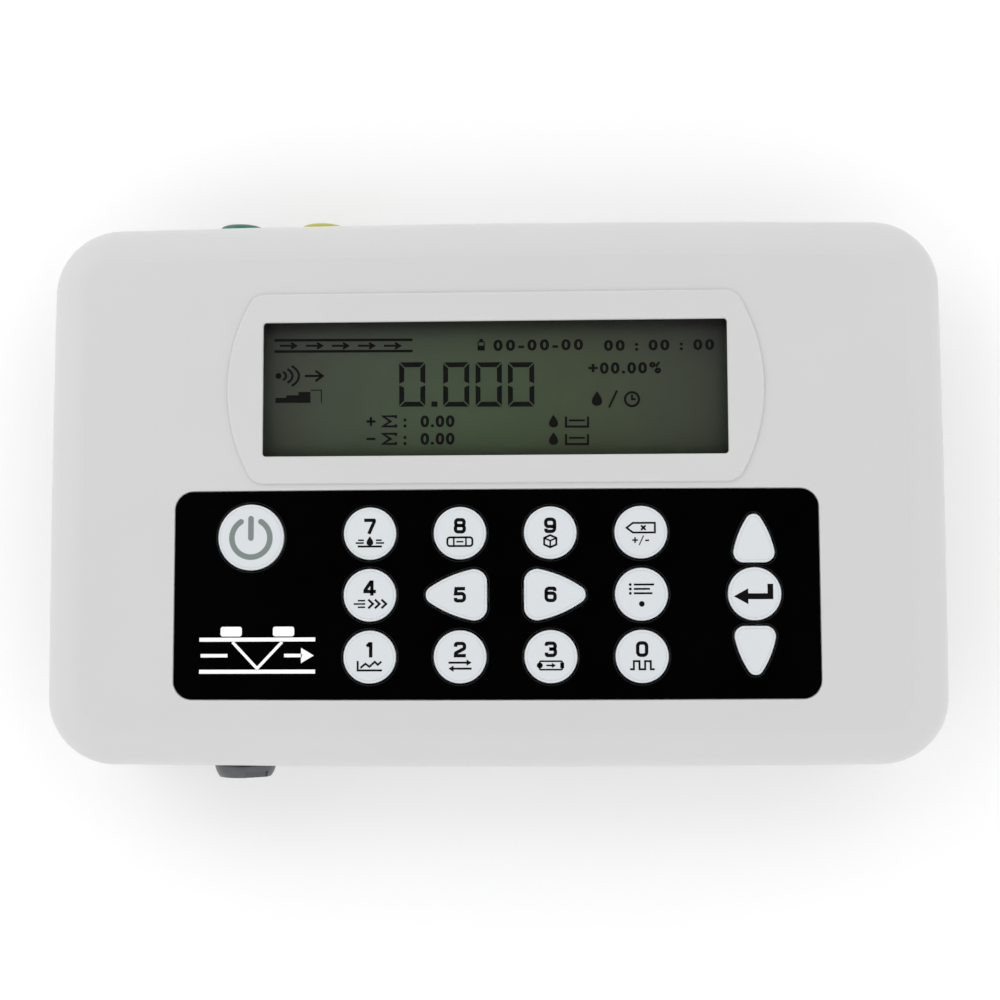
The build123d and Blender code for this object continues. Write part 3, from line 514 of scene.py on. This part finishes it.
# key centres, mm
KEYC = {"key_7": (0, 0), "key_8": (1, 0), "key_9": (2, 0), "key_delete": (3, 0), "key_4": (0, 1), "key_5": (1, 1), "key_6": (2, 1),
        "key_options": (3, 1), "key_1": (0, 2), "key_2": (1, 2), "key_3": (2, 2), "key_0": (3, 2)}
KEYC = {k: (PX + COLS[c], ROWS[r]) for k, (c, r) in KEYC.items()}
ZL = KEY_TOP + 0.004


def drop_pts(cx, cy, rx, ry, n=48):
    """A drop, point up."""
    out = []
    for i in range(n):
        t = 2 * math.pi * i / n
        out.append((cx + rx * 1.25 * math.sin(t) * math.sin(t / 2) ** 1.25, cy + ry * math.cos(t)))
    return out


def arrow(pr, x0, x1, y, w, head):
    s = 1 if x1 > x0 else -1
    pr.fill([(x1, y), (x1 - s * head * 1.15, y + head * 0.72), (x1 - s * head * 1.15, y - head * 0.72)])
    pr.stroke([(x0, y), (x1 - s * head, y)], w)


def legends():
    for k in ("key_7", "key_8", "key_9", "key_4", "key_1", "key_2", "key_3", "key_0", "key_5", "key_6"):
        x, y = KEYC[k]
        pr = Print("legend_" + k[4:], k, ZL, "legend_black", slot="insert_black")
        d = k[4:]
        digit(pr, d, x, y + (2.08 if d not in "56" else 0.05))
        yb = y - 2.50
        L, S = 0.56, 0.46
        if d == "7":
            # a drop over a level
            pr.fill(drop_pts(x, yb + 0.35, 1.05, 1.35))
            for s in (-1, 1):
                pr.stroke([(x + s * 1.75, yb + 0.55), (x + s * 3.4, yb + 0.55)], S)
                pr.stroke([(x + s * 1.75, yb - 0.25), (x + s * 4.1, yb - 0.25)], S)
            pr.stroke([(x - 3.5, yb - 1.25), (x + 3.5, yb - 1.25)], L)
        elif d == "8":
            # a barrel on its side
            pr.stroke(rounded([(x - 3.6, yb - 1.25), (x + 3.6, yb - 1.25), (x + 3.6, yb + 1.25), (x - 3.6, yb + 1.25)], 0.75, True), L, True)
            for u in (-1.75, 1.75):
                pr.stroke([(x + u, yb - 1.25), (x + u, yb + 1.25)], S)
            pr.stroke([(x - 1.0, yb), (x + 1.0, yb)], S)
        elif d == "9":
            # a cube
            pr.stroke([(x, yb - 1.75), (x + 1.75, yb - 0.95), (x + 1.75, yb + 0.95), (x, yb + 1.75), (x - 1.75, yb + 0.95), (x - 1.75, yb - 0.95)], L, True)
            pr.stroke([(x - 1.75, yb + 0.95), (x, yb + 0.15), (x + 1.75, yb + 0.95)], S)
            pr.stroke([(x, yb + 0.15), (x, yb - 1.7)], S)
        elif d == "4":
            # arrow heads in a row behind speed lines
            for i in range(3):
                cx = x + 0.2 + 1.9 * i
                pr.stroke([(cx - 0.6, yb + 1.25), (cx + 0.75, yb), (cx - 0.6, yb - 1.25)], 0.62)
            for yy, x0 in ((0.95, -3.4), (0.0, -4.6), (-0.95, -3.4)):
                pr.stroke([(x + x0, yb + yy), (x - 1.3, yb + yy)], S)
        elif d == "1":
            # a trace over its axes
            pr.stroke([(x - 3.4, yb + 1.4), (x - 3.4, yb - 1.3), (x + 3.6, yb - 1.3)], L)
            pr.stroke([(x - 2.6, yb - 0.6), (x - 1.2, yb + 0.6), (x, yb - 0.25), (x + 1.5, yb + 1.15), (x + 2.4, yb + 0.3), (x + 3.4, yb + 1.2)], L)
        elif d == "2":
            # two ways
            arrow(pr, x - 3.3, x + 3.3, yb + 0.85, L, 1.25)
            arrow(pr, x + 3.3, x - 3.3, yb - 0.85, L, 1.25)
        elif d == "3":
            # a current loop: a source and a load in a ring of wire
            pr.stroke(rounded([(x - 3.2, yb - 1.2), (x + 3.2, yb - 1.2), (x + 3.2, yb + 1.2), (x - 3.2, yb + 1.2)], 0.3, True), S, True)
            pr.fill(circle_pts(x - 3.2, yb, 0.85, 28))
            pr.fill([(x + 2.65, yb - 0.8), (x + 3.75, yb - 0.8), (x + 3.75, yb + 0.8), (x + 2.65, yb + 0.8)])
            arrow(pr, x - 1.3, x + 1.4, yb, S, 1.0)
        elif d == "0":
            # square pulses
            q = [(x - 3.5, yb - 1.15)]
            for i in range(2):
                x0 = x - 3.5 + 3.2 * i
                q += [(x0 + 1.1, yb - 1.15), (x0 + 1.1, yb + 1.15), (x0 + 2.7, yb + 1.15), (x0 + 2.7, yb - 1.15)]
            q.append((x + 3.5, yb - 1.15))
            pr.stroke(q, L)
        pr.done()

    # delete: a backspace mark over plus and minus
    x, y = KEYC["key_delete"]
    pr = Print("legend_delete", "key_delete", ZL, "legend_black", slot="insert_black")
    c = y + 1.25
    pr.stroke([(x - 4.1, c), (x - 2.3, c + 1.38), (x + 4.0, c + 1.38), (x + 4.0, c - 1.38), (x - 2.3, c - 1.38)], 0.54, True)
    for s in (-1, 1):
        pr.stroke([(x + 0.7 - 0.66, c - s * 0.66), (x + 0.7 + 0.66, c + s * 0.66)], 0.52)
    c = y - 2.3
    pr.stroke([(x - 2.5, c), (x - 0.9, c)], 0.44)
    pr.stroke([(x - 1.7, c - 0.8), (x - 1.7, c + 0.8)], 0.44)
    pr.stroke([(x - 0.55, c - 1.45), (x + 0.75, c + 1.3)], 0.30)
    pr.stroke([(x + 1.2, c - 0.1), (x + 2.3, c - 0.1)], 0.46)
    pr.done()

    # options: a list over the decimal point
    x, y = KEYC["key_options"]
    pr = Print("legend_options", "key_options", ZL, "legend_black", slot="insert_black")
    for i, yy in enumerate((2.75, 1.5, 0.25)):
        pr.fill(circle_pts(x - 3.2, y + yy, 0.40, 20))
        pr.stroke([(x - 2.2, y + yy), (x + (3.6, 2.4, 3.1)[i], y + yy)], 0.54)
    pr.fill(circle_pts(x + 0.05, y - 2.78, 0.80, 36))
    pr.done()

    # enter: a bent arrow
    x, y = PX + NAV_X, ROWS[1]
    pr = Print("legend_enter", "key_enter", ZL, "legend_black", slot="insert_black")
    pr.fill([(x - 5.95, y - 0.72), (x - 1.87, y + 1.53), (x - 1.87, y + 0.11), (x + 3.62, y + 0.11), (x + 3.62, y + 2.80), (x + 5.22, y + 2.80),
             (x + 5.22, y - 1.56), (x - 1.87, y - 1.56), (x - 1.87, y - 2.97)])
    pr.done()

    # power: a broken ring with a bar
    x, y = PX - 70.55, -13.92
    pr = Print("legend_power", "key_power", ZL, "legend_grey", slot="socket_grey")
    pr.stroke(circle_pts(x, y, 5.53, 60, 90 + 31.5, 90 + 328.5), 1.60, ends="round")
    pr.stroke([(x, y + 5.60), (x, y + 0.0)], 1.62, ends="round")
    pr.done()


legends()


# ---------------------------------------------------------------------------
# beads that trim the key holes
# ---------------------------------------------------------------------------
def triangle_outline(h, um, hm, tip, r_base, r_tip, off, steps=14):
    """The plan of a rounded triangle key, flat side at x = 0, as points."""
    def circ(p1, p2, p3):
        (ax, ay), (bx, by), (cx, cy) = p1, p2, p3
        d = 2 * (ax * (by - cy) + bx * (cy - ay) + cx * (ay - by))
        ux = ((ax ** 2 + ay ** 2) * (by - cy) + (bx ** 2 + by ** 2) * (cy - ay) + (cx ** 2 + cy ** 2) * (ay - by)) / d
        uy = ((ax ** 2 + ay ** 2) * (cx - bx) + (bx ** 2 + by ** 2) * (ax - cx) + (cx ** 2 + cy ** 2) * (bx - ax)) / d
        return ux, uy, math.hypot(ax - ux, ay - uy)
    cx, cy, r = circ((0, h), (um, hm), (tip, 0))
    # circles tangent inside: base fillet and tip fillet
    bx = r_base
    d = r - r_base
    by = cy + math.sqrt(d ** 2 - (bx - cx) ** 2)
    dt = r - r_tip
    tx = cx + math.sqrt(dt ** 2 - cy ** 2)
    pts = []

    def arc(ox, oy, rad, a0, a1, n):
        for i in range(n + 1):
            a = a0 + (a1 - a0) * i / n
            pts.append((ox + rad * math.cos(a), oy + rad * math.sin(a)))
    ab = math.atan2(by - cy, bx - cx)
    at = math.atan2(0 - cy, tx - cx)
    arc(bx, -by, r_base + off, math.pi, 2 * math.pi - ab, steps)
    arc(cx, -cy, r + off, -ab, -at, steps * 2)
    arc(tx, 0, r_tip + off, -at, at, steps)
    arc(cx, cy, r + off, at, ab, steps * 2)
    arc(bx, by, r_base + off, ab, math.pi, steps)
    out = []
    for p in pts:
        if not out or math.hypot(p[0] - out[-1][0], p[1] - out[-1][1]) > 0.02:
            out.append(p)
    return out


def place(pts, x, y, turn):
    c, s = math.cos(math.radians(turn)), math.sin(math.radians(turn))
    return [(x + c * a - s * b, y + s * a + c * b) for a, b in pts]


def key_outline(name, off):
    if name == "key_5":
        return place(triangle_outline(7.89, 10.29, 5.50, 19.28, 3.74, 2.62, off), PX + COLS[1] + 7.75, ROWS[1], 180)
    if name == "key_6":
        return place(triangle_outline(7.89, 10.29, 5.50, 19.28, 3.74, 2.62, off), PX + COLS[2] - 7.6, ROWS[1], 0)
    if name == "key_up":
        return place(triangle_outline(6.25, 8.25, 4.34, 15.45, 2.93, 2.3, off), PX + NAV_X, ROWS[1] + 8.95, 90)
    if name == "key_down":
        return place(triangle_outline(6.25, 8.25, 4.34, 15.45, 2.93, 2.3, off), PX + NAV_X, ROWS[1] - 9.15, -90)
    if name == "key_power":
        return circle_pts(PX - 70.55, -13.74, 9.525 + off, 96)
    if name == "key_enter":
        return circle_pts(PX + NAV_X, ROWS[1], 7.55 + off, 80)
    return circle_pts(KEYC[name][0], KEYC[name][1], 7.55 + off, 80)


def beads():
    for name in [n for n in frame["nodes"] if n.startswith("key_")]:
        pts = key_outline(name, 0.64)
        cu = bpy.data.curves.new("bead_" + name[4:], "CURVE")
        cu.dimensions = "3D"
        sp = cu.splines.new("POLY")
        sp.points.add(len(pts) - 1)
        for i, p in enumerate(pts):
            sp.points[i].co = (p[0] * MM, (p[1] + SHIFT) * MM, (KP_TOP + 0.09) * MM, 1)
        sp.use_cyclic_u = True
        cu.bevel_depth = 0.14 * MM
        cu.bevel_resolution = 3
        o = bpy.data.objects.new("tmp", cu)
        me = bpy.data.meshes.new_from_object(o)
        bpy.data.objects.remove(o)
        me.name = "bead_" + name[4:]
        me.materials.clear()
        me.materials.append(M["bead_black"].m)
        for f in me.polygons:
            f.use_smooth = True
        ob = bpy.data.objects.new("bead_" + name[4:], me)
        bpy.context.scene.collection.objects.link(ob)
        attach(ob, "case")


beads()


# ---------------------------------------------------------------------------
# what the display shows
# ---------------------------------------------------------------------------
def px_to_mm(px, py, z=GLASS_TOP):
    """Where a pixel of the photograph falls on the plane at height z, in the construction's own mm."""
    f = cam_data.lens / 36.0 * 1000
    d = [RIGHT[i] * (px - 500) / f + UP[i] * (500 - py) / f - BACK[i] for i in range(3)]
    t = (z - CAM[2]) / d[2]
    return CAM[0] + d[0] * t, CAM[1] + d[1] * t - SHIFT


def text_mesh(body, bold=0.040):
    """Characters of the built-in typeface as polygons, starting at x = 0."""
    cu = bpy.data.curves.new("tmp_text", "FONT")
    cu.body = body
    cu.size = 1.0
    cu.offset = bold
    cu.resolution_u = 6
    o = bpy.data.objects.new("tmp_text", cu)
    me = bpy.data.meshes.new_from_object(o)
    bpy.data.objects.remove(o)
    bpy.data.curves.remove(cu)
    return me


def lcd_text(pr, body, x0, x1, y0, y1, narrow=1.08):
    """Figures between two pixels of the photograph, on the display's plane: each as high as y0 to y1,
    with its own width, and spread evenly from x0 to x1."""
    lx, ly = px_to_mm(x0, y1)
    hx, hy = px_to_mm(x1, y0)
    ref = text_mesh("0")
    ys = [v.co.y for v in ref.vertices]
    base, k = min(ys), (hy - ly) / (max(ys) - min(ys))
    zero = max(v.co.x for v in ref.vertices) - min(v.co.x for v in ref.vertices)
    bpy.data.meshes.remove(ref)
    glyphs = []
    for ch in body:
        if ch == " ":
            glyphs.append((None, 0, zero * 0.52))
            continue
        me = text_mesh(ch)
        xs = [v.co.x for v in me.vertices]
        glyphs.append((me, min(xs), max(xs) - min(xs)))
    total = sum(g[2] for g in glyphs) * k * narrow
    gap = (hx - lx - total) / max(1, len(glyphs) - 1)
    x = lx
    for me, off, wid in glyphs:
        if me is not None:
            vs = [pr._v((x + (v.co.x - off) * k * narrow, ly + (v.co.y - base) * k), pr.z + pr.thick) for v in me.vertices]
            for p in me.polygons:
                f = pr.bm.faces.new([vs[i] for i in p.vertices])
                f.normal_update()
                if f.normal.z < 0:
                    f.normal_flip()
            bpy.data.meshes.remove(me)
        x += wid * k * narrow + gap


def seg_digit(pr, x0, x1, y0, y1, t, segs="abcdef"):
    """One seven-segment figure with mitred segments, in mm."""
    g = t * 0.14
    ym = (y0 + y1) / 2
    # a: top, d: bottom, f/e: left upper/lower, b/c: right upper/lower
    S = {
        "a": [(x0 + g, y1), (x1 - g, y1), (x1 - t - g, y1 - t), (x0 + t + g, y1 - t)],
        "d": [(x0 + g, y0), (x0 + t + g, y0 + t), (x1 - t - g, y0 + t), (x1 - g, y0)],
        "f": [(x0, y1 - g * 1.6), (x0 + t, y1 - t - g * 1.6), (x0 + t, ym + t * 0.62), (x0, ym + g * 1.2)],
        "b": [(x1, y1 - g * 1.6), (x1, ym + g * 1.2), (x1 - t, ym + t * 0.62), (x1 - t, y1 - t - g * 1.6)],
        "e": [(x0, y0 + g * 1.6), (x0, ym - g * 1.2), (x0 + t, ym - t * 0.62), (x0 + t, y0 + t + g * 1.6)],
        "c": [(x1, y0 + g * 1.6), (x1 - t, y0 + t + g * 1.6), (x1 - t, ym - t * 0.62), (x1, ym - g * 1.2)],
        "g": [(x0 + g * 2, ym), (x0 + t * 0.75, ym + t / 2), (x1 - t * 0.75, ym + t / 2), (x1 - g * 2, ym), (x1 - t * 0.75, ym - t / 2), (x0 + t * 0.75, ym - t / 2)],
    }
    for s in segs:
        pr.fill(S[s])


def display():
    pr = Print("lcd_figures", "case", GLASS_TOP + 0.02, "lcd_ink", 0.02, slot="lcd_glass")

    def R(x0, x1, y0, y1):
        a = px_to_mm(x0, y1)
        b = px_to_mm(x1, y0)
        pr.fill([(a[0], a[1]), (b[0], a[1]), (b[0], b[1]), (a[0], b[1])])

    def S(points, w, closed=False):
        pr.stroke([px_to_mm(*p) for p in points], w / 3.46, closed)

    # flow through a pipe
    S([(274.5, 340.4), (412.5, 339.8)], 2.6)
    S([(274.5, 351.6), (412.5, 351.0)], 2.6)
    for i in range(5):
        cx = 291 + 26.0 * i
        S([(cx, 342.9), (cx + 5.0, 345.8), (cx, 348.7)], 2.1)
        S([(cx - 11.0, 345.8), (cx + 2.6, 345.8)], 2.1)
    # battery
    S([(478.2, 341.8), (484.2, 341.8), (484.2, 350), (478.2, 350)], 1.1, True)
    R(477.7, 484.7, 345.6, 350.4)
    R(479.4, 483.0, 339.0, 341.8)
    # date and time
    lcd_text(pr, "00-00-00", 493.5, 583, 339.0, 351, 1.22)
    lcd_text(pr, "00 : 00 : 00", 604, 714, 339.0, 351, 1.22)
    # signal: waves from a source, and its bars
    pr.fill([px_to_mm(278.5 + 3.0 * math.cos(t), 376 + 3.0 * math.sin(t)) for t in [2 * math.pi * i / 20 for i in range(20)]])
    for r in (9, 15.5, 22):
        S([(277 + r * math.cos(math.radians(a)), 376 + r * math.sin(math.radians(a)) * 0.60) for a in range(-48, 49, 6)], 2.3)
    S([(305, 376), (321, 376)], 2.3)
    S([(315.5, 370.8), (322.5, 376), (315.5, 381.2)], 2.3)
    R(275.5, 286.5, 397.8, 403.0)
    R(286.4, 298.5, 395.2, 403.0)
    R(298.4, 310.5, 392.0, 403.0)
    S([(310.6, 390.3), (321.4, 390.1), (321.4, 403.2)], 1.0)
    # main figure
    t = 5.0 / 3.46
    for a, b in ((399.2, 425.3), (443.2, 469.2), (475.6, 501.8), (508.0, 534.2)):
        lo, hi = px_to_mm(a, 406.8), px_to_mm(b, 362.2)
        seg_digit(pr, lo[0], hi[0], lo[1], hi[1], t)
    R(431.4, 437.4, 401.4, 406.8)
    # percent, and volume over time
    lcd_text(pr, "+00.00%", 588.5, 661, 361.8, 374, 1.12)
    s = 1 / 3.46
    c = px_to_mm(597, 398.6)
    pr.fill(drop_pts(c[0], c[1], 5.6 * s, 7.4 * s))
    S([(609, 407.5), (617, 390.5)], 2.1)
    c = px_to_mm(632, 399.2)
    pr.stroke(circle_pts(c[0], c[1], 7.0 * s, 40), 2.3 * s, True)
    pr.stroke([(c[0], c[1] + 4.6 * s), (c[0], c[1]), (c[0] + 3.6 * s, c[1])], 2.0 * s)
    # sums in both directions
    for y0, sign in ((415.2, 1), (432.7, -1)):
        S([(366.5, y0 + 6.3), (375.5, y0 + 6.3)], 2.3)
        if sign > 0:
            S([(371.0, y0 + 1.8), (371.0, y0 + 10.8)], 2.3)
        S([(396.0, y0 + 3.2), (396.0, y0 + 1.1), (383, y0 + 1.1), (390.5, y0 + 6.2), (383, y0 + 11.2), (396.0, y0 + 11.2), (396.0, y0 + 9.2)], 2.3)
        R(403.6, 406.4, y0 + 3.4, y0 + 6.2)
        R(403.6, 406.4, y0 + 9.4, y0 + 12.2)
        lcd_text(pr, "0.00", 420.5, 454.5, y0, y0 + 12.2)
        c = px_to_mm(553.5, y0 + 5.9)
        pr.fill(drop_pts(c[0], c[1], 5.0 * s, 6.4 * s))
        S([(566, y0 + 1.4), (566, y0 + 11.4), (588, y0 + 11.4), (588, y0 + 1.4)], 2.2)
        S([(569, y0 + 5.2), (585, y0 + 5.2)], 1.9)
    pr.done()


display()


# ---------------------------------------------------------------------------
# the printed mark at the left of the keypad: sound paths through a pipe
# ---------------------------------------------------------------------------
def mark():
    cx, cy = (-85.9 - 50.0) / 2, (-39.0 - 56.6) / 2
    pr = Print("panel_mark", "case", KP_TOP + 0.003, "print_white", 0.012, slot="key_white")
    for s in (-1, 1):
        pr.stroke([(cx - 16.8, cy + s * 4.6), (cx + 16.8, cy + s * 4.6)], 1.15)
    for x in (-7.6, 7.6):
        pr.fill(rounded([(cx + x - 3.1, cy + 5.5), (cx + x + 3.1, cy + 5.5), (cx + x + 3.1, cy + 8.3), (cx + x - 3.1, cy + 8.3)], 0.7, True))
    pr.stroke([(cx - 7.2, cy + 3.9), (cx, cy - 3.7), (cx + 7.2, cy + 3.9)], 0.85)
    pr.fill([(cx + 16.4, cy), (cx + 12.7, cy + 2.2), (cx + 12.7, cy - 2.2)])
    pr.stroke([(cx + 7.8, cy), (cx + 13.0, cy)], 1.0)
    pr.stroke([(cx - 16.4, cy), (cx - 8.6, cy)], 1.0)
    pr.done()


mark()


# ---------------------------------------------------------------------------
# floor
# ---------------------------------------------------------------------------
def floor():
    bm = bmesh.new()
    n, size = 24, 6.0
    bmesh.ops.create_grid(bm, x_segments=n, y_segments=n, size=size)
    me = bpy.data.meshes.new("floor")
    bm.to_mesh(me)
    bm.free()
    o = bpy.data.objects.new("floor", me)
    m = Mat("floor_paper", (0.97, 0.97, 0.97), 0.85, spec=0.1)
    m.mottle(3.0, (0.97, 0.97, 0.97), (0.958, 0.958, 0.958))
    m.grain(300.0, 0.00002, 0.15)
    me.materials.append(m.m)
    bpy.context.scene.collection.objects.link(o)
    o.location = (0, 0, 0)


floor()
